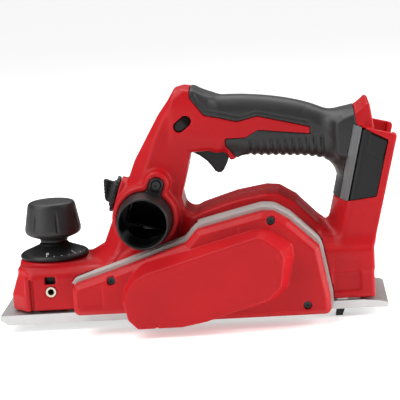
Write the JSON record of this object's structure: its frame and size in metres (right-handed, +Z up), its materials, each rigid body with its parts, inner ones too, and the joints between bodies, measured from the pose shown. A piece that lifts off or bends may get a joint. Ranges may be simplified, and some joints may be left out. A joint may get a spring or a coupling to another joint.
{
  "type": "electric hand planer",
  "caption": "Cordless hand planer: closed handle, depth knob on the front shoe, belt-driven cutter drum, side dust ports and an open battery receptacle.",
  "frame": {"origin": "on the rear shoe's sole, mid-width, halfway along the tool", "axes": "+X to the rear, +Z up away from the work, -Y on the belt cover side"},
  "size_m": [0.32, 0.1326, 0.1832],
  "materials": {
    "red_housing": "moulded red plastic, light satin texture",
    "black_rubber": "soft black overmould, fine texture",
    "black_plastic": "black moulded plastic",
    "grey_plastic": "mid grey moulded plastic",
    "cast_aluminium": "blasted die cast",
    "shoe_aluminium": "milled and anodised",
    "steel": "turned",
    "black_steel": "black oxide",
    "spring_steel": "drawn wire",
    "brass": "turned",
    "copper": "copper",
    "carbon": "pressed carbon",
    "magnet": "sintered",
    "belt_rubber": "ribbed belt",
    "board_green": "coated circuit board"
  },
  "bodies": {
    "root": {"left_shell": "red_housing", "right_shell": "red_housing", "belt_cover": "red_housing", "left_grip": "black_rubber", "right_grip": "black_rubber", "side_strips": "grey_plastic", "side_panels": "black_plastic", "gear_case": "cast_aluminium", "drum_chamber": "cast_aluminium", "rear_shoe": "shoe_aluminium", "shoe_springs": "spring_steel", "shoe_screws": "black_steel", "detent_ring": "spring_steel", "fence_inserts": "brass", "drum_bearings": "steel", "motor_can": "black_steel", "magnets": "magnet", "motor_bearings": "steel", "brush_holder": "black_plastic", "brushes": "carbon", "drive_belt": "belt_rubber", "cover_screws": "black_steel", "left_dust_port": "black_plastic", "right_dust_port": "black_plastic", "port_screws": "black_steel", "trigger_pin": "steel", "trigger_spring": "spring_steel", "switch_module": "black_plastic", "lock_off_spring": "spring_steel", "kickstand_pin": "steel", "kickstand_spring": "spring_steel", "terminal_block": "black_plastic", "terminals": "copper", "control_board": "board_green", "housing_screws": "black_steel"},
    "front_shoe": {"front_shoe": "shoe_aluminium", "guide_posts": "steel"},
    "depth_setting": {"scale_disc": "black_plastic", "depth_knob": "black_rubber", "depth_spindle": "steel"},
    "cutter": {"drum_shaft": "steel", "cutter_drum": "cast_aluminium", "blades": "steel", "blade_clamps": "black_steel", "clamp_screws": "black_steel", "drum_pulley": "black_steel"},
    "motor_rotor": {"motor_shaft": "steel", "motor_pulley": "black_steel", "rotor_core": "black_steel", "commutator": "copper", "cooling_fan": "black_plastic"},
    "trigger": {"trigger": "black_plastic"},
    "lock_off": {"lock_off_button": "black_plastic"},
    "chip_selector": {"selector_knob": "black_plastic", "selector_shaft": "black_plastic", "chip_deflector": "black_plastic"},
    "kickstand": {"kickstand": "black_plastic"}
  },
  "joints": [
    {"name": "depth_knob_turn", "type": "hinge", "parent": "root", "child": "depth_setting", "pos_m": [-0.11, 0, 0.07], "axis": [0, 0, 1], "range_deg": [0, 330]},
    {"name": "front_shoe_rise", "type": "slide", "parent": "root", "child": "front_shoe", "axis": [0, 0, 1], "range_m": [0, 0.002], "deforming": ["shoe_springs"]},
    {"name": "motor_spin", "type": "hinge", "parent": "root", "child": "motor_rotor", "pos_m": [0.056, 0, 0.048], "axis": [0, 1, 0], "continuous": true},
    {"name": "cutter_spin", "type": "hinge", "parent": "root", "child": "cutter", "pos_m": [-0.022, 0, 0.025], "axis": [0, 1, 0], "continuous": true},
    {"name": "trigger_pull", "type": "hinge", "parent": "root", "child": "trigger", "pos_m": [0.008, 0, 0.1315], "axis": [0, -1, 0], "range_deg": [0, 12], "stiffness_Nm_per_rad": 0.8, "springref_deg": -5.73},
    {"name": "lock_off_push", "type": "slide", "parent": "root", "child": "lock_off", "axis": [0, 1, 0], "range_m": [-0.003, 0.003], "stiffness_N_per_m": 400},
    {"name": "chip_selector_turn", "type": "hinge", "parent": "root", "child": "chip_selector", "pos_m": [-0.0555, 0, 0.0935], "axis": [-0.9471, 0, 0.321], "range_deg": [0, 180]},
    {"name": "kickstand_fold", "type": "hinge", "parent": "root", "child": "kickstand", "pos_m": [0.119, -0.033, 0.004], "axis": [0, -1, 0], "range_deg": [0, 102], "stiffness_Nm_per_rad": 0.02, "springref_deg": -28.65}
  ],
  "couplings": [
    {"joint": "depth_knob_turn", "follows": "front_shoe_rise", "rad_per_m": 2879.8},
    {"joint": "cutter_spin", "follows": "motor_spin", "ratio": 0.66667}
  ]
}
